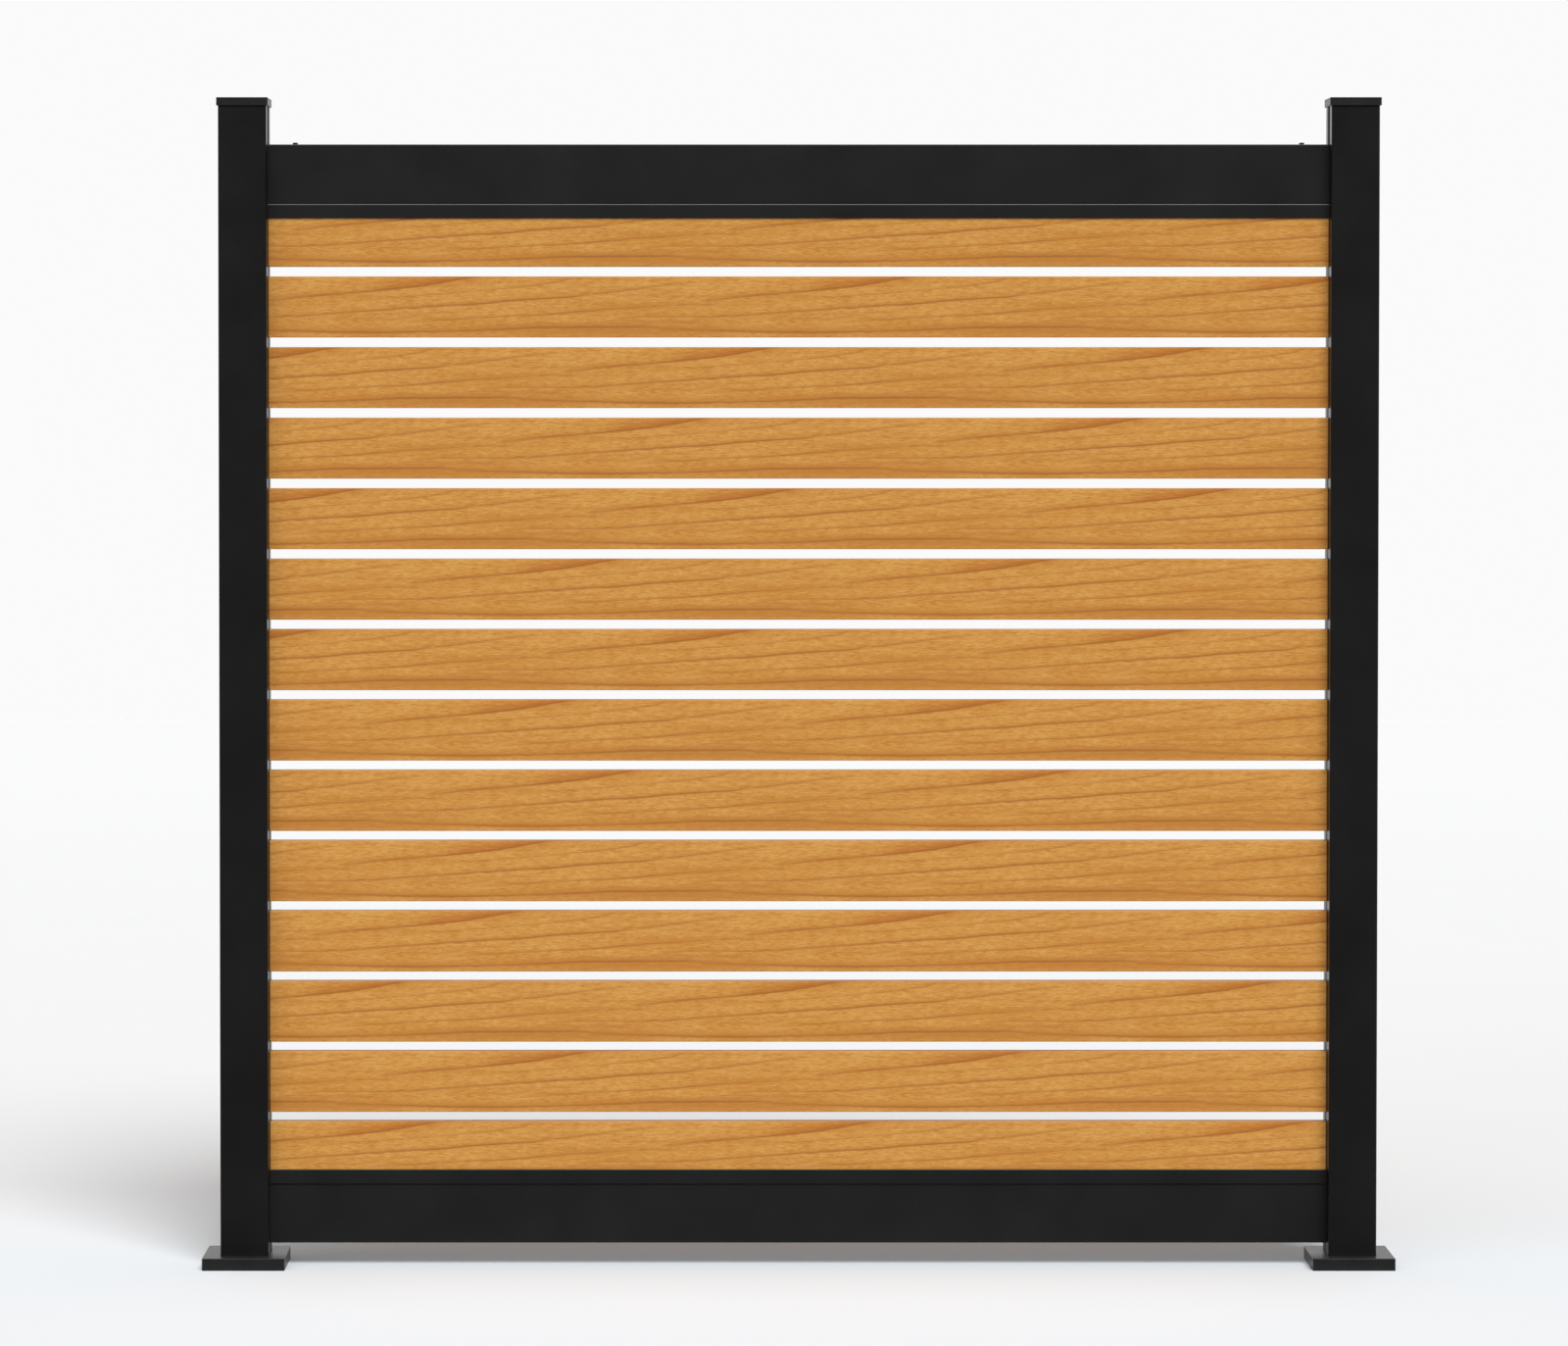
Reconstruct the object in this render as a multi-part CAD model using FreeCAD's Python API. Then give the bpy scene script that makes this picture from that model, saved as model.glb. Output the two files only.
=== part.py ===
import FreeCAD, Part
import math
import os

# Garden privacy screen: two slotted square posts on base plates, with a stack of wood-print
# slats held between them by a black rail and channel at the bottom and at the top.
# Millimetres. X runs along the screen, Y through it (the front faces -Y) and Z is up.
# The origin is on the ground, midway between the posts and midway through the screen.

Vector = FreeCAD.Vector
ORIGIN = Vector(0, 0, 0)
X_AXIS = Vector(1, 0, 0)
Y_AXIS = Vector(0, 1, 0)
Z_AXIS = Vector(0, 0, 1)
QUARTER_TURN = 90.0
HALF_TURN = 180.0
HEXAGON_SIDES = 6
SIXTH_TURN = 60.0
UPWARDS = 1
DOWNWARDS = -1

# Overall layout
clear_opening = 1653.0
ground_clearance = 35.3
post_above_top_rail = 69.3

# Posts: extruded square tubes with a slot down the inner face and a screw port in each corner
post_size = 75.0
post_wall = 2.0
post_corner_radius = 2.5
slot_depth = 22.0
slot_side_clearance = 0.5
port_wall = 1.9
port_mouth = 1.6
port_bite = 0.2

# Slats: hollow extrusions on edge, one above another
slat_count = 14
slat_height = 95.0
slat_thickness = 22.0
slat_wall = 1.5
slat_corner_radius = 1.5
slat_web_count = 2
slat_gap = 15.0
end_clearance = 1.0

# Spacers and rail supports: hollow plastic blocks that fill the slot
block_wall = 2.5
block_chamfer = 0.8
block_clearance = 0.3
block_recess = 0.5

# Rails: taller hollow extrusions as thick as the slats, with a T slot along one edge
rail_height = 93.0
rail_wall = 1.8
rail_corner_radius = 1.5
rail_web_count = 2
tee_slot_mouth = 7.0
tee_slot_width = 12.0
tee_slot_depth = 2.4
tee_clearance = 0.2

# Channels: U sections that take the edge of the first and last slats, with a T foot for the rail
channel_leg = 22.2
channel_wall = 2.2
channel_corner_radius = 0.8
channel_side_clearance = 0.3
channel_end_clearance = 1.0

# Brackets: angles that hold the ends of the top rail down
bracket_thickness = 3.0
bracket_side_clearance = 0.3
bracket_rise = 32.0
bracket_tail = 12.0
bracket_bend_radius = 2.5
rail_screw_inset = 42.5
post_screw_height = 18.0

# Base plates: under the posts, with a hole near each corner for a ground anchor and a recess
# underneath for the heads of the screws that hold the post
plate_thickness = 10.0
plate_corner_chamfer = 8.0
plate_recess_depth = 3.6
recess_clearance = 1.0
anchor_offset = 10.0
anchor_edge = 12.5
anchor_hole = 11.0

# Base covers: moulded skirts that slide down the posts over the plates
cover_height = 19.0
cover_wall = 2.5
cover_plate_clearance = 1.8
cover_post_clearance = 0.4
cover_corner_radius = 2.5
cover_chamfer = 1.0

# Post caps: moulded lids with a skirt outside the post and three blades inside it
cap_height = 12.5
cap_wall = 2.2
cap_top = 2.5
cap_clearance = 0.3
cap_corner_radius = 2.5
cap_chamfer = 0.8
cap_blade_width = 24.0
cap_blade_depth = 12.0
cap_blade_thickness = 2.0

# Screws: hexagon-head tapping screws
screw_diameter = 4.2
screw_hole_clearance = 0.3
thread_clearance = 0.05
screw_head_across_flats = 7.0
screw_head_height = 3.0
base_screw_length = 25.0
bracket_screw_length = 13.0

# Places that follow from the sizes above
post_half = post_size / 2
post_centre_x = clear_opening / 2 + post_half
slot_floor_x = clear_opening / 2 + slot_depth
slot_width = slat_thickness + 2 * slot_side_clearance
slat_end_gap = bracket_thickness + end_clearance
slat_length = clear_opening + 2 * (slot_depth - slat_end_gap)
slat_pitch = slat_height + slat_gap
screw_hole = screw_diameter + 2 * screw_hole_clearance
port_bore = screw_diameter + 2 * thread_clearance
port_radius = port_bore / 2 + port_wall
port_offset = post_half - post_wall - port_radius + port_bite
anchor_place = post_half + anchor_offset
plate_size = 2 * (anchor_place + anchor_edge)
cover_size = plate_size + 2 * (cover_plate_clearance + cover_wall)
cap_size = post_size + 2 * (cap_clearance + cap_wall)

bottom_rail_top = ground_clearance + rail_height
first_slat_bottom = bottom_rail_top + channel_wall
last_slat_top = first_slat_bottom + slat_count * slat_height + (slat_count - 1) * slat_gap
top_rail_bottom = last_slat_top + channel_wall
top_rail_top = top_rail_bottom + rail_height
post_top = top_rail_top + post_above_top_rail


# Outlines and blocks -----------------------------------------------------------------------

def rectangle(width, depth):
    """Closed wire in the XY plane, centred on the origin."""
    x = width / 2
    y = depth / 2
    return Part.makePolygon([Vector(x, y), Vector(-x, y), Vector(-x, -y), Vector(x, -y), Vector(x, y)])


def rounded_rectangle(width, depth, radius):
    """The same with rounded corners."""
    reach_x = width / 2 - radius
    reach_y = depth / 2 - radius
    corners = [(reach_x, reach_y), (-reach_x, reach_y), (-reach_x, -reach_y), (reach_x, -reach_y)]
    arcs = []
    for quarter, (x, y) in enumerate(corners):
        start = quarter * QUARTER_TURN
        arcs.append(Part.makeCircle(radius, Vector(x, y, 0), Z_AXIS, start, start + QUARTER_TURN))
    edges = []
    for arc, following in zip(arcs, arcs[1:] + arcs[:1]):
        edges.append(arc)
        edges.append(Part.makeLine(arc.lastVertex().Point, following.firstVertex().Point))
    return Part.Wire(edges)


def chamfered_rectangle(width, depth, chamfer):
    """The same with its corners cut off."""
    x = width / 2
    y = depth / 2
    points = [Vector(x, y - chamfer), Vector(x - chamfer, y), Vector(chamfer - x, y), Vector(-x, y - chamfer)]
    points += [Vector(-point.x, -point.y) for point in points]
    return Part.makePolygon(points + points[:1])


def face_with_holes(outline, holes):
    return Part.makeFace([outline] + holes, "Part::FaceMakerBullseye")


def strip(start_x, length, width):
    """Flat rectangle from start_x towards +X, centred on the X axis."""
    return Part.makePlane(length, width, Vector(start_x, -width / 2, 0))


def block(outline, bottom, top):
    """Upright prism over an outline."""
    prism = Part.Face(outline).extrude(Z_AXIS * (top - bottom))
    prism.translate(Z_AXIS * bottom)
    return prism


def chamfer_top(solid, top, chamfer):
    rim = [edge for edge in solid.Edges if edge.BoundBox.ZMin > top - chamfer]
    return solid.makeChamfer(chamfer, rim)


def cylinder(diameter, start, direction, length):
    return Part.makeCylinder(diameter / 2, length, start, direction)


def box_between(low, high):
    size = high - low
    return Part.makeBox(size.x, size.y, size.z, low)


def at_left_post(shape):
    """Move a shape drawn round the Z axis to the left-hand post, its +X side facing the slats."""
    placed = shape.copy()
    placed.translate(X_AXIS * -post_centre_x)
    return placed


def other_end(shape):
    """The same piece at the other end of the screen, where it is turned half round."""
    turned = shape.copy()
    turned.rotate(ORIGIN, Z_AXIS, HALF_TURN)
    return turned


# Posts and caps ----------------------------------------------------------------------------

def port_places():
    places = []
    for x in (-port_offset, port_offset):
        for y in (-port_offset, port_offset):
            places.append(Vector(x, y, 0))
    return places


def disc(diameter, centre):
    return Part.Face(Part.Wire(Part.makeCircle(diameter / 2, centre)))


def post_section():
    """Square tube section with a deep slot open to +X and a screw port in each corner."""
    casing_depth = slot_depth + post_wall
    chamber_size = post_size - 2 * post_wall
    casing = strip(post_half - casing_depth, casing_depth, slot_width + 2 * post_wall)
    section = Part.Face(rounded_rectangle(post_size, post_size, post_corner_radius))
    section = section.cut(Part.Face(rectangle(chamber_size, chamber_size)).cut(casing))
    for place in port_places():
        section = section.fuse(disc(2 * port_radius, place))
        # The mouth of the port opens towards the middle of the post.
        mouth = strip(0, port_radius + port_wall, port_mouth)
        mouth.rotate(ORIGIN, Z_AXIS, math.degrees(math.atan2(-place.y, -place.x)))
        mouth.translate(place)
        section = section.cut(disc(port_bore, place)).cut(mouth)
    slot = strip(post_half - slot_depth, slot_depth, slot_width)
    return section.cut(slot).removeSplitter().Faces[0]


def make_post():
    post = post_section().extrude(Z_AXIS * (post_top - plate_thickness))
    post.translate(Z_AXIS * plate_thickness)
    screw_start = Vector(post_half - slot_depth, 0, top_rail_top + post_screw_height)
    return at_left_post(post.cut(cylinder(port_bore, screw_start, -X_AXIS, post_wall)))


def make_cap():
    """Moulded lid: it rests on the post's end and grips it with a skirt and three blades."""
    skirt_bottom = post_top + cap_top - cap_height
    hollow_size = cap_size - 2 * cap_wall
    lid = block(rounded_rectangle(cap_size, cap_size, cap_corner_radius), skirt_bottom, post_top + cap_top)
    lid = chamfer_top(lid, post_top + cap_top, min(cap_chamfer, cap_top / 2))
    lid = lid.cut(block(rectangle(hollow_size, hollow_size), skirt_bottom, post_top))
    blade_face = post_half - post_wall - cap_clearance
    blade_low = Vector(-blade_face, -cap_blade_width / 2, post_top - cap_blade_depth)
    blade_high = Vector(cap_blade_thickness - blade_face, cap_blade_width / 2, post_top)
    for turns in (-1, 0, 1):
        blade = box_between(blade_low, blade_high)
        blade.rotate(ORIGIN, Z_AXIS, turns * QUARTER_TURN)
        lid = lid.fuse(blade)
    return at_left_post(lid.removeSplitter())


# Bases -------------------------------------------------------------------------------------

def make_base_plate():
    """Plate under the post: anchor holes in its corners, screw holes in a recess underneath."""
    plate = block(chamfered_rectangle(plate_size, plate_size, plate_corner_chamfer), 0, plate_thickness)
    for x in (-anchor_place, anchor_place):
        for y in (-anchor_place, anchor_place):
            plate = plate.cut(cylinder(anchor_hole, Vector(x, y, 0), Z_AXIS, plate_thickness))
    recess_size = 2 * (port_offset + recess_clearance) + screw_head_across_flats
    plate = plate.cut(block(rectangle(recess_size, recess_size), 0, plate_recess_depth))
    for place in port_places():
        plate = plate.cut(cylinder(screw_hole, place, Z_AXIS, plate_thickness))
    return at_left_post(plate)


def make_base_cover():
    """Square skirt that stands on the ground round the plate, with a hole for the post."""
    shell = block(rounded_rectangle(cover_size, cover_size, cover_corner_radius), 0, cover_height)
    shell = chamfer_top(shell, cover_height, min(cover_chamfer, cover_wall / 2))
    hollow_size = cover_size - 2 * cover_wall
    shell = shell.cut(block(rectangle(hollow_size, hollow_size), 0, cover_height - cover_wall))
    hole_size = post_size + 2 * cover_post_clearance
    hole = rounded_rectangle(hole_size, hole_size, post_corner_radius + cover_post_clearance)
    return at_left_post(shell.cut(block(hole, 0, cover_height)))


# Slats, rails and channels -----------------------------------------------------------------

def lay_along_x(section, length, middle_height):
    """Extrude a section drawn with its upper edge to +X, and lay it level along the screen."""
    bar = section.extrude(Z_AXIS * length)
    bar.translate(Z_AXIS * (-length / 2))
    bar.rotate(ORIGIN, Y_AXIS, -QUARTER_TURN)
    bar.translate(Z_AXIS * middle_height)
    return bar


def chambered_section(height, thickness, wall, corner_radius, web_count):
    """Hollow section on edge, its inside split into equal chambers by cross webs."""
    chamber_count = web_count + 1
    chamber_height = (height - (chamber_count + 1) * wall) / chamber_count
    holes = []
    for index in range(chamber_count):
        lowest = wall - height / 2 + index * (chamber_height + wall)
        hole = rectangle(chamber_height, thickness - 2 * wall)
        hole.translate(X_AXIS * (lowest + chamber_height / 2))
        holes.append(hole)
    return face_with_holes(rounded_rectangle(height, thickness, corner_radius), holes)


def make_slat(number):
    section = chambered_section(slat_height, slat_thickness, slat_wall, slat_corner_radius, slat_web_count)
    middle_height = first_slat_bottom + slat_height / 2 + (number - 1) * slat_pitch
    return lay_along_x(section, slat_length, middle_height)


def rail_section():
    """Chambered section with a T slot, walled off from the chambers, down its upper edge."""
    upper_edge = rail_height / 2
    pocket_depth = rail_wall + tee_slot_depth
    section = chambered_section(rail_height, slat_thickness, rail_wall, rail_corner_radius, rail_web_count)
    casing_depth = pocket_depth + rail_wall
    section = section.fuse(strip(upper_edge - casing_depth, casing_depth, tee_slot_width + 2 * rail_wall))
    section = section.cut(strip(upper_edge - pocket_depth, pocket_depth, tee_slot_mouth))
    section = section.cut(strip(upper_edge - pocket_depth, tee_slot_depth, tee_slot_width))
    return section.removeSplitter().Faces[0]


def make_bottom_rail():
    return lay_along_x(rail_section(), slat_length, ground_clearance + rail_height / 2)


def make_top_rail():
    """The same extrusion with its T slot downwards, and a screw hole over each bracket."""
    section = rail_section()
    section.rotate(ORIGIN, Z_AXIS, HALF_TURN)
    rail = lay_along_x(section, slat_length, top_rail_bottom + rail_height / 2)
    for side in (-1, 1):
        start = Vector(side * (clear_opening / 2 - rail_screw_inset), 0, top_rail_top - rail_wall)
        rail = rail.cut(cylinder(screw_hole, start, Z_AXIS, rail_wall))
    return rail


def make_channel(slat_face, opens):
    """U section round the edge of a slat that rests on slat_face, with a T foot into its rail."""
    outer_width = slat_thickness + 2 * (channel_side_clearance + channel_wall)
    lower_edge = -channel_leg / 2
    section = Part.Face(rounded_rectangle(channel_leg, outer_width, channel_corner_radius))
    section = section.cut(strip(lower_edge + channel_wall, channel_leg, outer_width - 2 * channel_wall))
    neck_length = rail_wall + tee_clearance
    head_depth = tee_slot_depth - 2 * tee_clearance
    neck = strip(lower_edge - neck_length, neck_length, tee_slot_mouth - 2 * tee_clearance)
    head = strip(lower_edge - neck_length - head_depth, head_depth, tee_slot_width - 2 * tee_clearance)
    section = section.fuse(neck).fuse(head).removeSplitter().Faces[0]
    if opens == DOWNWARDS:
        section.rotate(ORIGIN, Z_AXIS, HALF_TURN)
    middle_height = slat_face + opens * (channel_leg / 2 - channel_wall)
    return lay_along_x(section, clear_opening - 2 * channel_end_clearance, middle_height)


# Blocks in the slots -----------------------------------------------------------------------

def make_slot_block(bottom, top):
    """Hollow plastic block in the left-hand slot, a little back from the post's face."""
    depth = slot_depth - block_clearance - block_recess
    hollow = rectangle(depth - 2 * block_wall, slat_thickness - 2 * block_wall)
    outside = block(chamfered_rectangle(depth, slat_thickness, block_chamfer), bottom, top)
    piece = outside.cut(block(hollow, bottom, top))
    piece.translate(X_AXIS * (block_clearance + depth / 2 - slot_floor_x))
    return piece


# Brackets ----------------------------------------------------------------------------------

def nearest_edge(solid, place):
    return min(solid.Edges, key=lambda edge: edge.CenterOfMass.distanceToPoint(place))


def make_bracket():
    """Angle at the left end of the top rail: one leg under the rail's top wall, one up the slot."""
    width = slat_thickness - 2 * (rail_wall + bracket_side_clearance)
    heel_x = -slot_floor_x
    toe_x = rail_screw_inset + bracket_tail - clear_opening / 2
    leg_top = top_rail_top - rail_wall
    leg_bottom = leg_top - bracket_thickness
    heel_corner = Vector(heel_x, -width / 2, leg_bottom)
    rising_top = Vector(heel_x + bracket_thickness, width / 2, top_rail_top + bracket_rise)
    bracket = box_between(heel_corner, Vector(toe_x, width / 2, leg_top))
    bracket = bracket.fuse(box_between(heel_corner, rising_top)).removeSplitter()
    heel = nearest_edge(bracket, Vector(heel_x, 0, leg_bottom))
    bracket = bracket.makeFillet(min(bracket_bend_radius, bracket_thickness), [heel])
    rail_hole = Vector(rail_screw_inset - clear_opening / 2, 0, leg_bottom)
    post_hole = Vector(heel_x, 0, top_rail_top + post_screw_height)
    bracket = bracket.cut(cylinder(port_bore, rail_hole, Z_AXIS, bracket_thickness))
    return bracket.cut(cylinder(screw_hole, post_hole, X_AXIS, bracket_thickness))


# Screws ------------------------------------------------------------------------------------

def hexagon(across_flats):
    """Closed wire in the XY plane, round the origin."""
    corner = Vector(across_flats / math.sqrt(3), 0, 0)
    turns = [FreeCAD.Rotation(Z_AXIS, number * SIXTH_TURN) for number in range(HEXAGON_SIDES + 1)]
    return Part.makePolygon([turn.multVec(corner) for turn in turns])


def hexagon_screw(length):
    """Screw along Z, its head below the origin and its shank running up from there."""
    head = block(hexagon(screw_head_across_flats), -screw_head_height, 0)
    return head.fuse(cylinder(screw_diameter, ORIGIN, Z_AXIS, length))


def make_base_screws():
    """Four up through each base plate into the screw ports of its post."""
    screws = []
    for place in port_places():
        screw = hexagon_screw(base_screw_length)
        screw.translate(place + Z_AXIS * plate_recess_depth)
        screws.append(at_left_post(screw))
    return Part.makeCompound(screws + [other_end(screw) for screw in screws])


def make_bracket_screws():
    """One down through the top rail into each bracket, and one through the bracket into its post."""
    rail_screw = hexagon_screw(bracket_screw_length)
    rail_screw.rotate(ORIGIN, X_AXIS, HALF_TURN)
    rail_screw.translate(Vector(rail_screw_inset - clear_opening / 2, 0, top_rail_top))
    post_screw = hexagon_screw(bracket_screw_length)
    post_screw.rotate(ORIGIN, Y_AXIS, -QUARTER_TURN)
    post_screw.translate(Vector(bracket_thickness - slot_floor_x, 0, top_rail_top + post_screw_height))
    return Part.makeCompound([rail_screw, post_screw, other_end(rail_screw), other_end(post_screw)])


# The whole screen --------------------------------------------------------------------------

def make_post_pieces():
    """The pieces of the left-hand post, by name. The right-hand post has the same ones."""
    pieces = {
        "base_plate": make_base_plate(),
        "post": make_post(),
        "base_cover": make_base_cover(),
        "rail_support": make_slot_block(plate_thickness, ground_clearance),
        "rail_bracket": make_bracket(),
        "post_cap": make_cap(),
    }
    for number in range(1, slat_count):
        bottom = first_slat_bottom + number * slat_pitch - slat_gap
        pieces[f"spacer_{number:02d}"] = make_slot_block(bottom, bottom + slat_gap)
    return pieces


def make_screen():
    screen = {
        "bottom_rail": make_bottom_rail(),
        "bottom_channel": make_channel(first_slat_bottom, UPWARDS),
        "top_channel": make_channel(last_slat_top, DOWNWARDS),
        "top_rail": make_top_rail(),
        "base_screws": make_base_screws(),
        "bracket_screws": make_bracket_screws(),
    }
    for number in range(1, slat_count + 1):
        screen[f"slat_{number:02d}"] = make_slat(number)
    for name, piece in make_post_pieces().items():
        screen["left_" + name] = piece
        screen["right_" + name] = other_end(piece)
    return screen


os.makedirs("parts", exist_ok=True)
for name, piece in make_screen().items():
    piece.exportStep(f"parts/{name}.step")
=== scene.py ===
import math

import bmesh
import bpy
from mathutils import Matrix, Vector


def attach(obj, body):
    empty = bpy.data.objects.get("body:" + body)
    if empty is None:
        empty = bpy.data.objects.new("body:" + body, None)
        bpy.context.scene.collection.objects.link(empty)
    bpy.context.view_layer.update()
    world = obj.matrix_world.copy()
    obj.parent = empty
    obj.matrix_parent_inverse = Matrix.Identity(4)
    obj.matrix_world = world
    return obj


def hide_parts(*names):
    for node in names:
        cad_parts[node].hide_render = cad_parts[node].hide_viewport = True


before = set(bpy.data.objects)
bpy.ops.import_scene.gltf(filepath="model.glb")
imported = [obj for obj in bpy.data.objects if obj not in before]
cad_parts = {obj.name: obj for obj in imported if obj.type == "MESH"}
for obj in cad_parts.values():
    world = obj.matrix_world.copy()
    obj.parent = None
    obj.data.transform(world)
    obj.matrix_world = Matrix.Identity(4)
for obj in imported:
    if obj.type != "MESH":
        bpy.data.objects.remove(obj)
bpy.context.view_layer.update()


# ---- Base plates -----------------------------------------------------------------------------
# A thick steel plate under each post, with a hole near each corner for a ground anchor.
# Hot-rolled plate, cut, drilled and painted black. It stays out of sight under the cover.

sides = ("left", "right")


def add_node(tree, kind, inputs=(), **settings):
    """Adds a shader node. inputs pairs a socket's name or number with a value or a socket."""
    made = tree.nodes.new("ShaderNode" + kind)
    for name, value in settings.items():
        setattr(made, name, value)
    for name, value in inputs:
        if isinstance(value, bpy.types.NodeSocket):
            tree.links.new(value, made.inputs[name])
        else:
            made.inputs[name].default_value = value
    return made


def calc(tree, operation, *values):
    """One sum on numbers or sockets."""
    return add_node(tree, "Math", list(enumerate(values)), operation=operation).outputs[0]


def grain(tree, place, scale, detail=2.0, roughness=0.5):
    """Noise from 0 to 1 at that many cells a metre."""
    noise = add_node(
        tree, "TexNoise",
        [("Vector", place), ("Scale", scale), ("Detail", detail), ("Roughness", roughness)],
    )
    return noise.outputs["Fac"]


def spread(tree, value, low, high, out_low=0.0, out_high=1.0):
    """Stretches the part of a noise between low and high over a new range."""
    ranged = add_node(
        tree, "MapRange",
        [("Value", value), ("From Min", low), ("From Max", high),
         ("To Min", out_low), ("To Max", out_high)],
    )
    return ranged.outputs["Result"]


def blend_colours(tree, amount, first, second):
    """The first colour at amount 0 and the second at 1."""
    mixer = add_node(tree, "Mix", [("Factor", amount)], data_type="RGBA")
    for socket, colour in ((mixer.inputs[6], first), (mixer.inputs[7], second)):
        if isinstance(colour, bpy.types.NodeSocket):
            tree.links.new(colour, socket)
        else:
            socket.default_value = (*colour, 1.0)
    return mixer.outputs[2]


def surface(tree, colour, roughness, height, depth, specular=0.5, metallic=0.0):
    """Finishes a material: colour, gloss and a relief that is depth metres deep."""
    relief = add_node(tree, "Bump", [("Strength", 1.0), ("Distance", depth), ("Height", height)])
    shader = add_node(
        tree, "BsdfPrincipled",
        [("Base Color", colour), ("Roughness", roughness), ("Metallic", metallic),
         ("Specular IOR Level", specular), ("Normal", relief.outputs[0])],
    )
    add_node(tree, "OutputMaterial", [("Surface", shader.outputs[0])])


def new_material(name):
    """An empty node material, and the place on the piece that its patterns follow."""
    material = bpy.data.materials.new(name)
    material.use_nodes = True
    tree = material.node_tree
    tree.nodes.clear()
    place = add_node(tree, "TexCoord").outputs["Object"]
    return material, tree, place


def dress(node, material):
    """Gives a carried-over piece its material."""
    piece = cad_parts[node]
    piece.data.materials.clear()
    piece.data.materials.append(material)


def painted_plate():
    material, tree, place = new_material("painted_plate")
    scale_marks = grain(tree, place, 45.0, detail=5.0, roughness=0.6)
    fine = grain(tree, place, 900.0)
    wear_and_highlight = spread(tree, scale_marks, 0.55, 0.8)
    colour = blend_colours(tree, wear_and_highlight, (0.012, 0.012, 0.013), (0.045, 0.042, 0.04))
    roughness = spread(tree, fine, 0.3, 0.7, 0.42, 0.6)
    surface(tree, colour, roughness, calc(tree, "ADD", scale_marks, fine), depth=0.00008)
    return material


plate_paint = painted_plate()
for side in sides:
    dress(side + "_base_plate", plate_paint)


# ---- Posts -----------------------------------------------------------------------------------
# Square aluminium extrusions with a slot down the inner face, standing on the plates.
# Powder coated in satin black: an even, slightly pebbled skin that clouds into grey here and there.

def powder_coat(name, black, grey):
    material, tree, place = new_material(name)
    cloud = grain(tree, place, 9.0, detail=3.0, roughness=0.55)
    pebble = grain(tree, place, 620.0, detail=2.0, roughness=0.55)
    fleck = grain(tree, place, 1700.0, detail=1.0)
    tone = calc(
        tree, "ADD",
        spread(tree, cloud, 0.3, 0.7, 0.0, 0.45),
        spread(tree, fleck, 0.35, 0.75, 0.0, 0.55),
    )
    colour = blend_colours(tree, tone, black, grey)
    roughness = calc(
        tree, "ADD",
        spread(tree, cloud, 0.3, 0.7, 0.29, 0.34),
        spread(tree, pebble, 0.3, 0.7, 0.0, 0.06),
    )
    surface(tree, colour, roughness, pebble, depth=0.00004, specular=0.45)
    return material


post_coat = powder_coat("post_coat", (0.0068, 0.0064, 0.0063), (0.0108, 0.0103, 0.0101))
for side in sides:
    dress(side + "_post", post_coat)


# ---- Base screws -----------------------------------------------------------------------------
# Four hexagon-head tapping screws through each plate, up into the screw ports in the corners of
# the post. Zinc-plated steel: a chamfered head and a rolled thread that runs out to a point.

base_screw_length = 0.025
screw_radius = 0.0021
thread_root = 0.00158
thread_pitch = 0.0018
thread_steps = 20
# One turn of the thread: how far up the pitch each point lies, and how far out from the root.
thread_profile = ((0.0, 0.0), (0.36, 0.0), (0.5, 1.0), (0.64, 0.0))
# The share of the length where the screw starts to narrow, and what it has lost at its end.
taper_start = 0.86
taper_loss = 0.55

head_half_flats = 0.0035
head_height = 0.003
head_steps = 48
turned_radius = head_half_flats * 0.97
corner_slope = math.tan(math.radians(30))
face_radius = turned_radius * 0.98
dish_radius = turned_radius * 0.7
dish_depth = 0.00015


def ring(mesh, height, radii):
    """One closed row of points round the Z axis, evenly spaced."""
    count = len(radii)
    points = []
    for index, radius in enumerate(radii):
        angle = math.tau * index / count
        points.append(mesh.verts.new((radius * math.cos(angle), radius * math.sin(angle), height)))
    return points


def join_rings(mesh, first, second):
    """Closes the band between two rows with as many points each."""
    count = len(first)
    for index in range(count):
        following = (index + 1) % count
        mesh.faces.new((first[index], first[following], second[following], second[index]))


def add_screw_head(mesh):
    """Hexagon head below the origin, its outer corners turned off at thirty degrees."""
    flats = []
    for index in range(head_steps):
        within = (math.tau * index / head_steps) % (math.tau / 6) - math.tau / 12
        flats.append(head_half_flats / math.cos(within))
    bearing = ring(mesh, 0.0, flats)
    shoulder = ring(mesh, 0.0, flats)
    for point, flat in zip(shoulder, flats):
        point.co.z = -head_height - min(0.0, (turned_radius - flat) * corner_slope)
    face = ring(mesh, -head_height, [face_radius] * head_steps)
    dish = ring(mesh, -head_height + dish_depth, [dish_radius] * head_steps)
    mesh.faces.new(bearing)
    join_rings(mesh, bearing, shoulder)
    join_rings(mesh, shoulder, face)
    join_rings(mesh, face, dish)
    mesh.faces.new(dish)


def thread_row(mesh, turn, turns):
    """The thread's profile at so many turns up from its start."""
    angle = math.tau * turn
    along = turn / turns
    fade_in = min(1.0, max(0.0, turn - 1.0))
    taper = 1.0
    if along >= taper_start:
        taper = 1.0 - taper_loss * (along - taper_start) / (1.0 - taper_start)
    row = []
    for share, crest in thread_profile:
        radius = (thread_root + (screw_radius - thread_root) * crest * fade_in) * taper
        height = (turn + share - 1.0) * thread_pitch
        row.append(mesh.verts.new((radius * math.cos(angle), radius * math.sin(angle), height)))
    return row


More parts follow.
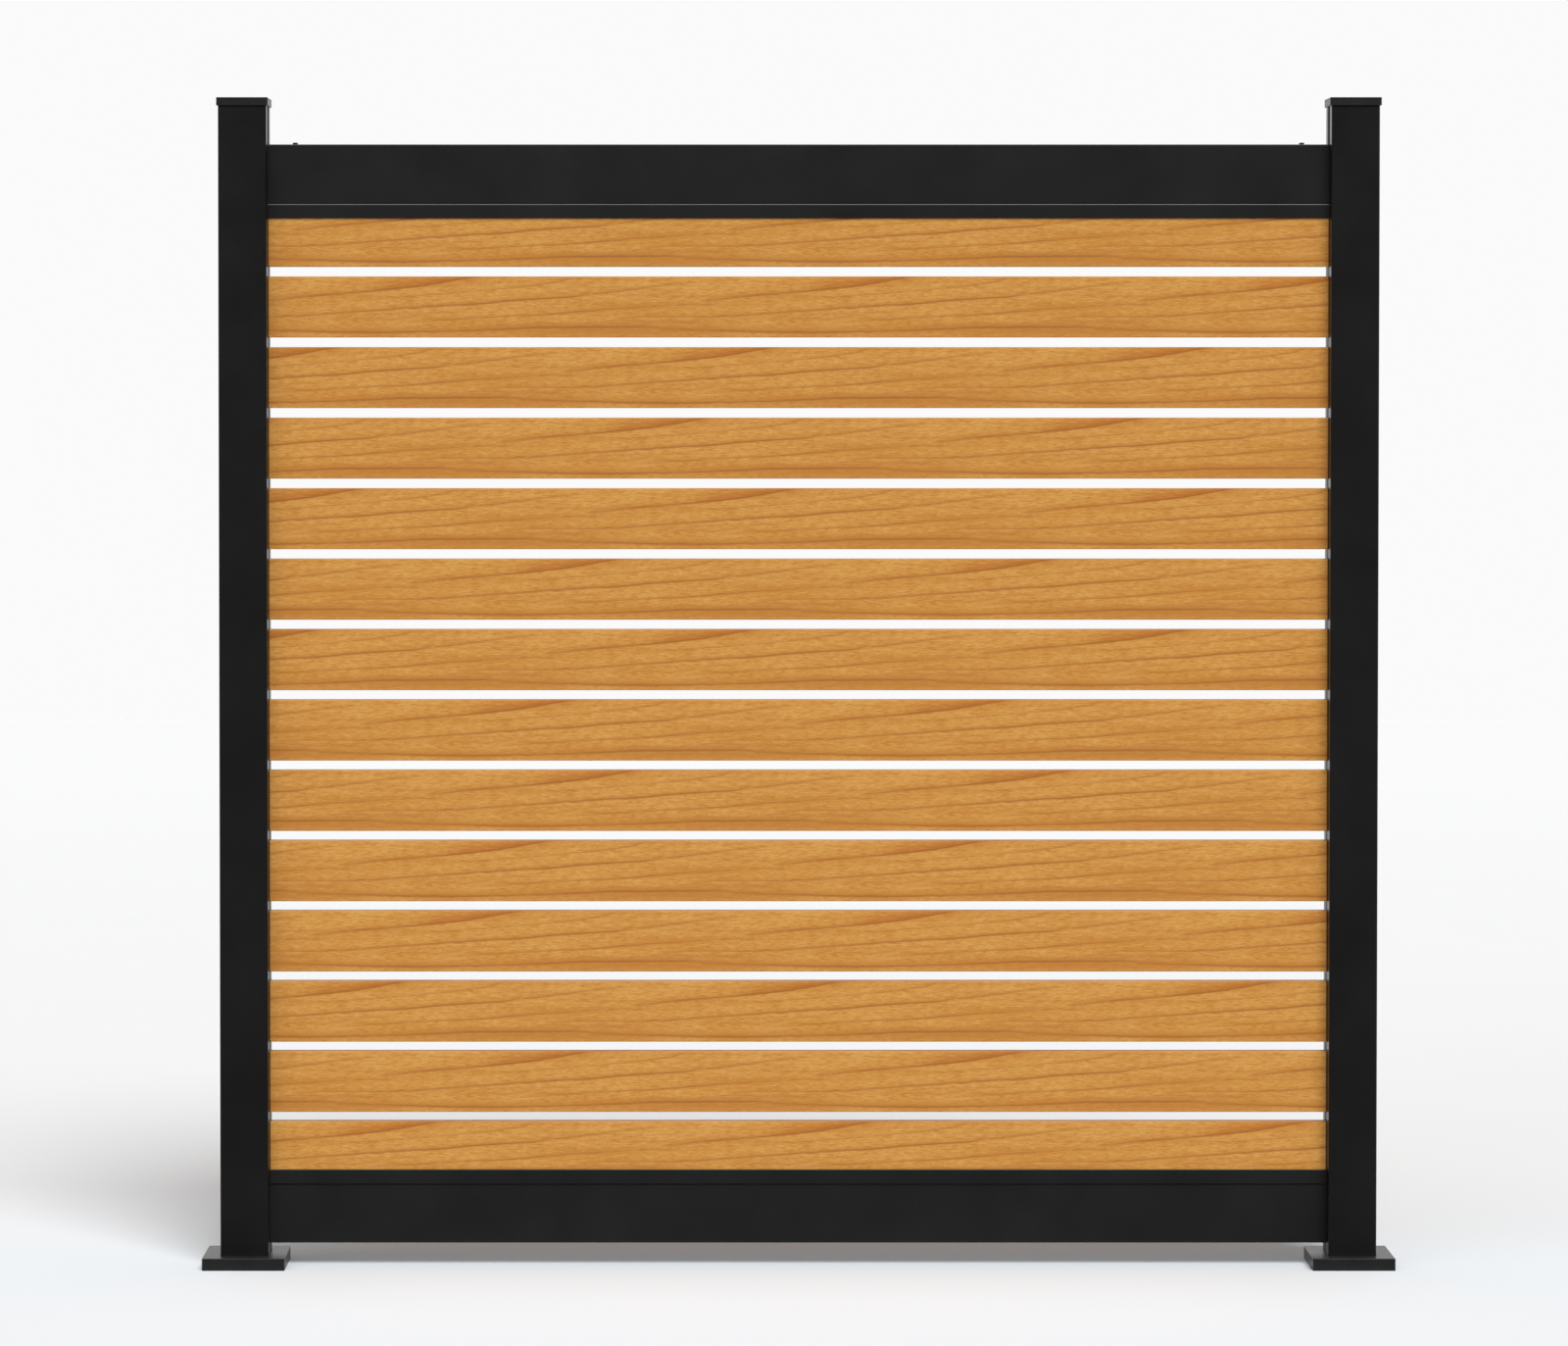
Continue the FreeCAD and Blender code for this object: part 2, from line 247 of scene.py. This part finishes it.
def add_screw_thread(mesh, length):
    """Helical thread on a core that runs from inside the head to a point. Its neck is plain."""
    turns = int(length / thread_pitch - thread_profile[-1][0]) + 1
    last_step = turns * thread_steps
    rows = [thread_row(mesh, step / thread_steps, turns) for step in range(last_step + 1)]
    for step, (row, following) in enumerate(zip(rows, rows[1:])):
        for index in range(len(thread_profile) - 1):
            mesh.faces.new((row[index], following[index], following[index + 1], row[index + 1]))
        # The last point of a turn meets the first point of the turn above it.
        above = step + thread_steps
        if above + 1 < len(rows):
            mesh.faces.new((row[-1], following[-1], rows[above + 1][0], rows[above][0]))
    # The lower end is closed inside the head, and the upper end runs to the point.
    first_turn = [row[0] for row in rows[:thread_steps + 1]]
    mesh.faces.new(first_turn + list(reversed(rows[0][1:])))
    point = mesh.verts.new((0.0, 0.0, length))
    rim = [row[-1] for row in rows[-thread_steps - 1:]] + list(reversed(rows[-1][:-1]))
    for first, following in zip(rim, rim[1:] + rim[:1]):
        mesh.faces.new((first, following, point))


def make_screws(name, places, material):
    """One object for a group of screws. Each place holds a length and where it goes."""
    mesh = bmesh.new()
    for length, matrix in places:
        single = bmesh.new()
        add_screw_head(single)
        add_screw_thread(single, length)
        single.transform(matrix)
        data = bpy.data.meshes.new("screw")
        single.to_mesh(data)
        single.free()
        mesh.from_mesh(data)
        bpy.data.meshes.remove(data)
    bmesh.ops.recalc_face_normals(mesh, faces=mesh.faces)
    data = bpy.data.meshes.new(name)
    mesh.to_mesh(data)
    mesh.free()
    data.materials.append(material)
    piece = bpy.data.objects.new(name, data)
    bpy.context.scene.collection.objects.link(piece)
    return piece


def zinc_plate():
    material, tree, place = new_material("zinc_plate")
    spangle = grain(tree, place, 260.0, detail=3.0, roughness=0.6)
    brushed = grain(tree, place, 2600.0, detail=2.0)
    tone = spread(tree, spangle, 0.35, 0.7)
    colour = blend_colours(tree, tone, (0.56, 0.57, 0.58), (0.42, 0.43, 0.46))
    roughness = spread(tree, brushed, 0.3, 0.7, 0.24, 0.42)
    relief = calc(tree, "ADD", spangle, brushed)
    surface(tree, colour, roughness, relief, depth=0.00002, metallic=1.0)
    return material


zinc = zinc_plate()
post_centre = 0.864
port_offset = 0.03155
recess_depth = 0.0036
base_screw_places = []
for post_x in (-post_centre, post_centre):
    for step_x in (-port_offset, port_offset):
        for step_y in (-port_offset, port_offset):
            foot = Matrix.Translation((post_x + step_x, step_y, recess_depth))
            base_screw_places.append((base_screw_length, foot))
base_screws = make_screws("base_screw_set", base_screw_places, zinc)
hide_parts("base_screws")
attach(base_screws, "root")


# ---- Base covers -----------------------------------------------------------------------------
# Square moulded skirts that slide down the posts and hide the plates.
# Black plastic with a fine spark-eroded grain, which shows grey where the light grazes it.

def moulded_plastic(name, dark, light, depth, rough_low, rough_high):
    material, tree, place = new_material(name)
    cloud = grain(tree, place, 30.0, detail=3.0, roughness=0.6)
    pitted = grain(tree, place, 700.0, detail=4.0, roughness=0.75)
    tone = calc(
        tree, "ADD",
        spread(tree, cloud, 0.3, 0.7, 0.0, 0.4),
        spread(tree, pitted, 0.45, 0.7, 0.0, 0.6),
    )
    colour = blend_colours(tree, tone, dark, light)
    roughness = spread(tree, pitted, 0.3, 0.7, rough_low, rough_high)
    surface(tree, colour, roughness, pitted, depth)
    return material


cover_plastic = moulded_plastic(
    "cover_plastic", (0.0095, 0.0095, 0.0095), (0.0225, 0.022, 0.0215),
    depth=0.00005, rough_low=0.28, rough_high=0.46,
)
for side in sides:
    dress(side + "_base_cover", cover_plastic)


# ---- Rail supports and spacers ---------------------------------------------------------------
# Hollow plastic blocks in the slots: one on each plate under the bottom rail, and one on each
# slat's end to hold the next slat up. Extruded and cut to length, so they are smooth and plain.

block_plastic = moulded_plastic(
    "block_plastic", (0.009, 0.009, 0.009), (0.014, 0.014, 0.014),
    depth=0.00003, rough_low=0.42, rough_high=0.56,
)
spacer_count = 13
for side in sides:
    dress(side + "_rail_support", block_plastic)
    for number in range(1, spacer_count + 1):
        dress(f"{side}_spacer_{number:02d}", block_plastic)


# ---- Bottom rail and channel -----------------------------------------------------------------
# An aluminium rail between the posts, with a channel on top that takes the first slat's edge.
# Both are coated like the posts, from a batch that came out a shade greyer.

rail_coat = powder_coat("rail_coat", (0.0100, 0.0100, 0.0100), (0.0155, 0.0153, 0.0152))
for name in ("bottom_rail", "bottom_channel"):
    dress(name, rail_coat)


# ---- Slats -----------------------------------------------------------------------------------
# Fourteen hollow aluminium slats, one above another, with a honey-coloured wood print under a
# clear satin coat. The print comes off a roller, so the same figure repeats along every slat,
# and each slat was cut from another place along it.

slat_height = 0.095
slat_pitch = 0.110
slat_front = -0.011
first_slat_bottom = 0.1305
# Where the painted shade at the slat ends begins, and how far it fades in.
end_shade_start = 0.8255
end_shade_fade = 0.0016
# How far up the print's figure moves for each metre round the edge to the back.
round_climb = 0.35

roller_length = 0.6795
# The place on the roller at the middle of a slat, and how much further along each slat was cut,
# from the bottom slat to the top one.
print_start = 0.8111
cut_offsets = (
    0.061, 0.504, 0.109, 0.612, 0.566, 0.430, 0.531,
    0.246, 0.458, 0.179, 0.318, 0.216, 0.0, 0.640,
)

# The near black of the painted shade at the slat ends.
end_shade_colour = (0.045, 0.026, 0.014)
honey = (0.592, 0.271, 0.046)
golden = (0.662, 0.343, 0.079)
pale_gold = (0.712, 0.384, 0.107)
amber = (0.470, 0.176, 0.022)
rust = (0.450, 0.140, 0.013)
vein_brown = (0.300, 0.092, 0.009)

# Each vein of the figure: where it starts on the roller, how wide its line and its tint are, and
# then its height on the slat and its strength, at shares of the roller's length from its start.
veins = {
    "main": (
        0.966, 0.0013, 0.0036,
        (
            (0.0, 0.606), (0.034, 0.619), (0.101, 0.672), (0.18, 0.717), (0.259, 0.767),
            (0.315, 0.806), (0.372, 0.856), (0.428, 0.922), (0.479, 0.978),
        ),
        (
            (0.0, 0.0), (0.03, 0.45), (0.1, 0.7), (0.2, 0.75), (0.3, 1.0), (0.46, 0.9),
            (0.5, 0.0),
        ),
    ),
    "second": (
        0.777, 0.0013, 0.0034,
        (
            (0.0, 0.311), (0.056, 0.339), (0.124, 0.342), (0.223, 0.339), (0.291, 0.367),
            (0.358, 0.403), (0.448, 0.444), (0.527, 0.486), (0.606, 0.522), (0.673, 0.542),
            (0.73, 0.583), (0.809, 0.625), (0.899, 0.667), (0.944, 0.708),
        ),
        (
            (0.0, 0.0), (0.05, 0.4), (0.2, 0.5), (0.35, 0.6), (0.5, 0.75), (0.62, 0.9),
            (0.85, 0.9), (0.92, 0.7), (0.96, 0.0),
        ),
    ),
    "second_end": (
        0.676, 0.0012, 0.0030,
        (
            (0.0, 0.667), (0.045, 0.708), (0.113, 0.764), (0.18, 0.828), (0.248, 0.875),
            (0.304, 0.917),
        ),
        ((0.0, 0.0), (0.04, 0.1), (0.06, 0.6), (0.15, 0.55), (0.25, 0.35), (0.33, 0.0)),
    ),
    "hair": (
        0.225, 0.0009, 0.0025,
        (
            (0.0, 0.639), (0.101, 0.689), (0.225, 0.75), (0.304, 0.806), (0.383, 0.867),
            (0.422, 0.917), (0.451, 0.967),
        ),
        ((0.0, 0.0), (0.08, 0.35), (0.25, 0.35), (0.35, 0.5), (0.44, 0.55), (0.47, 0.0)),
    ),
    "third": (
        0.315, 0.0012, 0.0030,
        (
            (0.0, 0.256), (0.079, 0.292), (0.158, 0.325), (0.248, 0.356), (0.315, 0.383),
            (0.372, 0.411), (0.428, 0.45), (0.473, 0.481), (0.529, 0.5), (0.586, 0.522),
            (0.685, 0.533),
        ),
        (
            (0.0, 0.0), (0.05, 0.35), (0.15, 0.45), (0.25, 0.55), (0.36, 0.75), (0.43, 0.5),
            (0.58, 0.35), (0.68, 0.25), (0.72, 0.0),
        ),
    ),
    "short": (
        0.721, 0.0009, 0.0025,
        ((0.0, 0.25), (0.068, 0.272), (0.135, 0.256), (0.225, 0.244), (0.3, 0.236)),
        ((0.0, 0.0), (0.05, 0.35), (0.2, 0.3), (0.3, 0.0)),
    ),
    "bottom": (
        0.0, 0.0016, 0.0048,
        (
            (0.0, 0.117), (0.113, 0.089), (0.225, 0.083), (0.338, 0.094), (0.45, 0.117),
            (0.529, 0.139), (0.597, 0.161), (0.676, 0.167), (0.788, 0.172), (0.845, 0.172),
            (0.901, 0.139), (1.0, 0.117),
        ),
        (
            (0.0, 0.55), (0.1, 0.8), (0.2, 0.85), (0.4, 0.6), (0.55, 0.8), (0.7, 0.9),
            (0.82, 0.8), (0.9, 0.5), (1.0, 0.55),
        ),
    ),
}

vein_wobble = 0.0011

# The strength of the flame over the main vein, from its start, and of the stain at the bottom.
flame_start = 0.215
flame_strength = (
    (0.0, 0.0), (0.03, 0.5), (0.09, 0.95), (0.19, 1.0), (0.26, 1.0), (0.32, 0.7), (0.4, 0.35),
    (0.48, 0.0), (1.0, 0.0),
)
flame_rise = 0.013
flame_edge = 0.0015
stain_strength = (
    (0.0, 0.7), (0.12, 0.45), (0.4, 0.5), (0.55, 0.8), (0.7, 1.0), (0.85, 0.9), (1.0, 0.7),
)
stain_height = 0.010
stain_rise = 0.010


def path_curve(tree, value, points):
    """A smooth line through points, read at value. It runs on level after the last point."""
    curve = add_node(tree, "FloatCurve", [("Value", value)])
    line = curve.mapping.curves[0]
    first, last = points[0], points[-1]
    line.points[0].location = first
    line.points[1].location = last if last[0] >= 1.0 else (1.0, last[1])
    for point in points[1:] if last[0] < 1.0 else points[1:-1]:
        line.points.new(*point)
    curve.mapping.update()
    return curve.outputs[0]


def roller_share(tree, turn, start):
    """How far a place on the roller lies past a start, from 0 to 1."""
    return calc(tree, "FRACT", calc(tree, "SUBTRACT", turn, start))


def roller_grain(tree, turn, up, per_metre_along, per_metre_up, seed, detail=2.0, roughness=0.55):
    """Noise stretched along the slat that meets itself again after one turn of the roller."""
    radius = per_metre_along * roller_length / math.tau
    angle = calc(tree, "MULTIPLY", turn, math.tau)
    across = calc(tree, "MULTIPLY_ADD", up, per_metre_up, seed)
    place = add_node(
        tree, "CombineXYZ",
        [("X", calc(tree, "MULTIPLY", calc(tree, "COSINE", angle), radius)),
         ("Y", calc(tree, "MULTIPLY", calc(tree, "SINE", angle), radius)),
         ("Z", across)],
    )
    return grain(tree, place.outputs[0], 1.0, detail, roughness)


def bell(tree, distance, width):
    """One at distance 0, falling off smoothly within about twice the width."""
    ratio = calc(tree, "DIVIDE", distance, width)
    square = calc(tree, "MULTIPLY", ratio, ratio)
    return calc(tree, "EXPONENT", calc(tree, "MULTIPLY", square, -1.0))


def ground_colour(tree, turn, up, fibre):
    """Plain wood: honey and golden patches, amber bands, and fine dark and light fibres."""
    hair_fibre = roller_grain(tree, turn, up, 95.0, 900.0, seed=71.0, detail=3.0, roughness=0.7)
    patch = roller_grain(tree, turn, up, 9.0, 34.0, seed=37.0)
    band = roller_grain(tree, turn, up, 4.0, 130.0, seed=51.0)
    colour = blend_colours(tree, spread(tree, patch, 0.35, 0.68), honey, golden)
    layers = (
        (spread(tree, band, 0.48, 0.75, 0.0, 0.5), amber),
        (spread(tree, fibre, 0.48, 0.7, 0.0, 0.9), amber),
        (spread(tree, fibre, 0.45, 0.27, 0.0, 0.75), golden),
        (spread(tree, hair_fibre, 0.49, 0.68, 0.0, 0.85), amber),
        (spread(tree, hair_fibre, 0.44, 0.28, 0.0, 0.7), pale_gold),
    )
    for amount, tint in layers:
        colour = blend_colours(tree, amount, colour, tint)
    return colour


def over_line(tree, turn, height, start, path):
    """Metres by which a place lies above a vein's line."""
    line = path_curve(tree, roller_share(tree, turn, start), path)
    return calc(tree, "SUBTRACT", height, calc(tree, "MULTIPLY", line, slat_height))


def vein_marks(tree, turn, height):
    """The strength of the veins' dark lines, and of the tint that goes with them."""
    lines = 0.0
    tints = 0.0
    for start, line_width, tint_width, path, strength in veins.values():
        amount = path_curve(tree, roller_share(tree, turn, start), strength)
        rise = over_line(tree, turn, height, start, path)
        thin = calc(tree, "MULTIPLY", bell(tree, rise, line_width), amount)
        # The tint lies mostly above the line and ends sharply under it.
        lifted = calc(tree, "SUBTRACT", rise, tint_width * 0.45)
        wide = calc(tree, "MULTIPLY", bell(tree, lifted, tint_width), amount)
        lines = calc(tree, "MAXIMUM", lines, thin)
        tints = calc(tree, "MAXIMUM", tints, wide)
    return lines, tints


def flame_mark(tree, turn, height, fibre):
    """The rust-coloured flame over the end of the main vein, up to the slat's top edge."""
    amount = path_curve(tree, roller_share(tree, turn, flame_start), flame_strength)
    main_start, _, _, main_path, _ = veins["main"]
    rise = over_line(tree, turn, height, main_start, main_path)
    over = spread(tree, rise, -flame_edge, flame_edge)
    above = calc(tree, "MULTIPLY", over, bell(tree, rise, flame_rise))
    ragged = spread(tree, fibre, 0.3, 0.6, 0.45, 1.0)
    return calc(tree, "MULTIPLY", calc(tree, "MULTIPLY", amount, above), ragged)


def stain_mark(tree, turn, height):
    """A broad amber stain round the bottom vein."""
    amount = path_curve(tree, turn, stain_strength)
    rise = calc(tree, "SUBTRACT", height, stain_height)
    return calc(tree, "MULTIPLY", bell(tree, rise, stain_rise), amount)


def wood_figure():
    """The print of the roller, as a node group: it takes a place along and up a slat."""
    group = bpy.data.node_groups.new("wood_figure", "ShaderNodeTree")
    for name in ("Along", "Up"):
        group.interface.new_socket(name, in_out="INPUT", socket_type="NodeSocketFloat")
    group.interface.new_socket("Colour", in_out="OUTPUT", socket_type="NodeSocketColor")
    group.interface.new_socket("Relief", in_out="OUTPUT", socket_type="NodeSocketFloat")
    start = group.nodes.new("NodeGroupInput")
    end = group.nodes.new("NodeGroupOutput")
    up = start.outputs["Up"]
    turn = calc(group, "FRACT", calc(group, "DIVIDE", start.outputs["Along"], roller_length))
    wobble = roller_grain(group, turn, up, 45.0, 70.0, seed=3.0)
    height = calc(group, "ADD", up, spread(group, wobble, 0.0, 1.0, -vein_wobble, vein_wobble))
    fibre = roller_grain(group, turn, up, 55.0, 420.0, seed=11.0, detail=4.0, roughness=0.68)
    pore = roller_grain(group, turn, up, 190.0, 1500.0, seed=23.0, detail=1.0)

    lines, tints = vein_marks(group, turn, height)
    dots = spread(group, pore, 0.62, 0.8, 0.0, 0.55)
    layers = (
        (calc(group, "MULTIPLY", stain_mark(group, turn, height), 0.7), amber),
        (calc(group, "MULTIPLY", tints, 0.6), amber),
        (calc(group, "MULTIPLY", flame_mark(group, turn, height, fibre), 0.95), rust),
        (calc(group, "MULTIPLY", lines, 0.72), vein_brown),
        (dots, rust),
    )
    colour = ground_colour(group, turn, up, fibre)
    for amount, tint in layers:
        colour = blend_colours(group, amount, colour, tint)

    sunk = calc(group, "MAXIMUM", lines, dots)
    relief = calc(group, "SUBTRACT", calc(group, "MULTIPLY", fibre, 0.6), sunk)
    group.links.new(colour, end.inputs["Colour"])
    group.links.new(relief, end.inputs["Relief"])
    return group


figure = wood_figure()


def wood_print(number):
    """The print on one slat: the figure from that slat's place along the roller."""
    material, tree, place = new_material(f"wood_print_{number:02d}")
    spot = add_node(tree, "SeparateXYZ", [(0, place)])
    bottom = first_slat_bottom + (number - 1) * slat_pitch
    # On the edges and the back the print goes on round the slat.
    behind_face = calc(tree, "SUBTRACT", spot.outputs["Y"], slat_front)
    round_edge = calc(tree, "MULTIPLY", behind_face, round_climb)
    along = calc(tree, "ADD", spot.outputs["X"], print_start + cut_offsets[number - 1])
    up = calc(tree, "ADD", calc(tree, "SUBTRACT", spot.outputs["Z"], bottom), round_edge)
    printed = add_node(tree, "Group", node_tree=figure)
    tree.links.new(along, printed.inputs["Along"])
    tree.links.new(up, printed.inputs["Up"])
    # Painted shade: just short of the slots the print fades to near black, for the shade between each
    # slat's end and the post.
    from_middle = calc(tree, "ABSOLUTE", spot.outputs["X"])
    painted_end_shade = spread(tree, from_middle, end_shade_start - end_shade_fade * 0.75, end_shade_start + end_shade_fade * 0.25)
    colour = blend_colours(tree, painted_end_shade, printed.outputs["Colour"], end_shade_colour)
    satin = grain(tree, place, 380.0, detail=2.0)
    roughness = spread(tree, satin, 0.3, 0.7, 0.46, 0.56)
    surface(tree, colour, roughness, printed.outputs["Relief"], depth=0.00003, specular=0.35)
    return material


for number in range(1, len(cut_offsets) + 1):
    dress(f"slat_{number:02d}", wood_print(number))


# ---- Top channel and rail --------------------------------------------------------------------
# The same rail and channel turned over: the channel caps the last slat, and the rail above it closes
# the stack. A painted highlight lightens the coat along the channel's upper outer corners, where the
# seam catches the light from above.

top_seam = 1.6577
# How far down and in from the channel's upper outer corners the painted highlight reaches.
highlight_height = 0.0011
channel_half_width = 0.0135


def channel_highlight_coat():
    material, tree, place = new_material("channel_highlight_coat")
    cloud = grain(tree, place, 9.0, detail=3.0, roughness=0.55)
    pebble = grain(tree, place, 620.0, detail=2.0, roughness=0.55)
    highlight_ragged = grain(tree, place, 160.0, detail=3.0, roughness=0.6)
    tone = spread(tree, cloud, 0.3, 0.7)
    colour = blend_colours(tree, tone, (0.0105, 0.0105, 0.0105), (0.0155, 0.0153, 0.0152))
    spot = add_node(tree, "SeparateXYZ", [(0, place)])
    below_seam = calc(tree, "SUBTRACT", top_seam, spot.outputs["Z"])
    upper = spread(tree, below_seam, highlight_height * 1.3, highlight_height * 0.7)
    from_middle = calc(tree, "ABSOLUTE", spot.outputs["Y"])
    from_side = calc(tree, "SUBTRACT", channel_half_width, from_middle)
    outer = spread(tree, from_side, highlight_height, highlight_height * 0.5)
    highlight_corner = calc(tree, "MULTIPLY", upper, outer)
    wear_and_highlight = calc(tree, "MULTIPLY", highlight_corner, spread(tree, highlight_ragged, 0.2, 0.6, 0.75, 1.0))
    # Painted highlight: a light grey along the channel's upper outer corners, broken up a little by
    # noise.
    colour = blend_colours(tree, wear_and_highlight, colour, (0.150, 0.150, 0.155))
    roughness = spread(tree, pebble, 0.3, 0.7, 0.29, 0.39)
    surface(tree, colour, roughness, pebble, depth=0.00004, specular=0.45)
    return material


dress("top_channel", channel_highlight_coat())
dress("top_rail", rail_coat)


# ---- Brackets and their screws ---------------------------------------------------------------
# A zinc-plated angle in each end of the top rail, screwed to the rail from above and to the
# post in the slot. The screws are blackened, and their heads stand proud of the rail.

for side in sides:
    dress(side + "_rail_bracket", zinc)


def black_oxide():
    material, tree, place = new_material("black_oxide")
    tumbled = grain(tree, place, 1400.0, detail=3.0, roughness=0.6)
    tone = spread(tree, tumbled, 0.35, 0.7)
    colour = blend_colours(tree, tone, (0.014, 0.014, 0.015), (0.03, 0.029, 0.029))
    roughness = spread(tree, tumbled, 0.3, 0.7, 0.3, 0.45)
    surface(tree, colour, roughness, tumbled, depth=0.00002, specular=0.6)
    return material


bracket_screw_length = 0.013
half_opening = 0.8265
slot_depth = 0.022
bracket_thickness = 0.003
rail_screw_inset = 0.0425
top_rail_top = 1.7507
post_screw_height = 0.018
bracket_screw_places = []
downwards = Matrix.Rotation(math.pi, 4, "X")
for direction in (-1, 1):
    rail_x = direction * (half_opening - rail_screw_inset)
    rail_place = Matrix.Translation((rail_x, 0, top_rail_top))
    bracket_screw_places.append((bracket_screw_length, rail_place @ downwards))
    inside = direction * (half_opening + slot_depth - bracket_thickness)
    post_place = Matrix.Translation((inside, 0, top_rail_top + post_screw_height))
    outwards = Matrix.Rotation(direction * math.pi / 2, 4, "Y")
    bracket_screw_places.append((bracket_screw_length, post_place @ outwards))
oxide = black_oxide()
bracket_screws = make_screws("bracket_screw_set", bracket_screw_places, oxide)
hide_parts("bracket_screws")
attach(bracket_screws, "root")


# ---- Post caps -------------------------------------------------------------------------------
# Square moulded lids pressed onto the posts, of the same grained black plastic as the covers.

for side in sides:
    dress(side + "_post_cap", cover_plastic)


# ---- Floor and light -------------------------------------------------------------------------
# A plain pale studio: a wide floor that keeps the screen's shadow, a bright wall behind, a dim
# room in front, a large soft lamp up on the right, a weaker one on the left, and one overhead,
# just behind the screen, for the soft shadow in front of it.

floor_half = 14.0
floor_drop = 0.0002
cool_half_length = 1.6
cool_half_depth = 0.9
cool_middle = -0.45
room_white = 0.96
room_glow = 0.13


def studio_floor():
    material, tree, place = new_material("studio_floor")
    mottle = grain(tree, place, 1.5, detail=3.0)
    colour = blend_colours(tree, mottle, (0.905, 0.905, 0.91), (0.935, 0.935, 0.935))
    spot = add_node(tree, "SeparateXYZ", [(0, place)])
    # Far behind the screen it turns into the white of the room, so that no horizon shows.
    far = spread(tree, spot.outputs["Y"], 1.5, 11.0)
    colour = blend_colours(tree, far, colour, (0.968, 0.971, 0.971))
    # Painted tint: the paper is a cooler white near the screen, to cancel the warm light that the
    # slats throw on it.
    away = calc(tree, "SUBTRACT", spot.outputs["Y"], cool_middle)
    near = calc(
        tree, "MULTIPLY",
        bell(tree, spot.outputs["X"], cool_half_length),
        bell(tree, away, cool_half_depth),
    )
    colour = blend_colours(tree, near, colour, (0.838, 0.895, 0.948))
    paper = add_node(tree, "BsdfDiffuse", [("Color", colour)])
    # In mirrored light the floor goes dim a little way in front, like the rest of the room there.
    dim = add_node(tree, "BsdfDiffuse", [("Color", (0.03, 0.03, 0.03, 1.0))])
    ahead = spread(tree, spot.outputs["Y"], 0.02, -0.12)
    mirrored = calc(tree, "MULTIPLY", ahead, add_node(tree, "LightPath").outputs["Is Glossy Ray"])
    pick = add_node(tree, "MixShader", [(0, mirrored), (1, paper.outputs[0]), (2, dim.outputs[0])])
    add_node(tree, "OutputMaterial", [("Surface", pick.outputs[0])])
    return material


floor_data = bpy.data.meshes.new("studio_floor")
floor_mesh = bmesh.new()
bmesh.ops.create_grid(floor_mesh, x_segments=8, y_segments=8, size=floor_half)
floor_mesh.to_mesh(floor_data)
floor_mesh.free()
floor_data.materials.append(studio_floor())
floor = bpy.data.objects.new("studio_floor", floor_data)
floor.location = (0.0, 0.0, -floor_drop)
bpy.context.scene.collection.objects.link(floor)

world = bpy.data.worlds.new("studio")
bpy.context.scene.world = world
world.use_nodes = True
room = world.node_tree
room.nodes.clear()
toward = add_node(room, "SeparateXYZ", [(0, add_node(room, "TexCoord").outputs["Generated"])])
behind = spread(room, toward.outputs["Y"], -0.1, 0.5)
walls = blend_colours(room, behind, (0.02, 0.02, 0.022), (0.95, 0.95, 0.96))
mirrored = add_node(room, "Background", [("Color", walls)])
ambient = add_node(room, "Background", [("Color", (1, 1, 1, 1)), ("Strength", room_glow)])
white = add_node(room, "Background", [("Color", (1, 1, 1, 1)), ("Strength", room_white)])
ray = add_node(room, "LightPath")
lit = add_node(
    room, "MixShader",
    [(0, ray.outputs["Is Glossy Ray"]), (1, ambient.outputs[0]), (2, mirrored.outputs[0])],
)
seen = add_node(
    room, "MixShader",
    [(0, ray.outputs["Is Camera Ray"]), (1, lit.outputs[0]), (2, white.outputs[0])],
)
add_node(room, "OutputWorld", [("Surface", seen.outputs[0])])


def add_sun(name, azimuth, elevation, strength, spread_angle):
    """A soft lamp far away. Azimuth 0 is in front of the screen, 90 on its right, 180 behind it."""
    lamp = bpy.data.lights.new(name, "SUN")
    lamp.energy = strength
    lamp.angle = math.radians(spread_angle)
    holder = bpy.data.objects.new(name, lamp)
    turn, lift = math.radians(azimuth), math.radians(elevation)
    reach = math.cos(lift)
    source = Vector((math.sin(turn) * reach, -math.cos(turn) * reach, math.sin(lift)))
    holder.rotation_mode = "QUATERNION"
    holder.rotation_quaternion = source.to_track_quat("Z", "Y")
    bpy.context.scene.collection.objects.link(holder)


add_sun("right_lamp", azimuth=16.0, elevation=50.0, strength=2.44, spread_angle=32.0)
add_sun("left_lamp", azimuth=-32.0, elevation=42.0, strength=0.6, spread_angle=60.0)
add_sun("top_lamp", azimuth=180.0, elevation=84.0, strength=0.45, spread_angle=16.0)


# ---- Camera ----------------------------------------------------------------------------------
# Straight in front at about chest height, a little to the left of the middle, tipped down a little
# and shifted the rest of the way.

camera_tilt = 1.505

camera_data = bpy.data.cameras.new("camera")
camera_data.sensor_fit = "HORIZONTAL"
camera_data.sensor_width = 36.0
camera_data.lens = 122.8
camera_data.shift_x = 0.054
camera_data.shift_y = -0.0893
camera_data.clip_start = 0.1
camera_data.clip_end = 200.0
camera = bpy.data.objects.new("camera", camera_data)
camera.location = (-0.1545, -8.3475, 1.365)
camera.rotation_euler = (math.radians(90.0 - camera_tilt), 0.0, 0.0)
bpy.context.scene.collection.objects.link(camera)
bpy.context.scene.camera = camera
bpy.context.scene.view_settings.view_transform = "Standard"
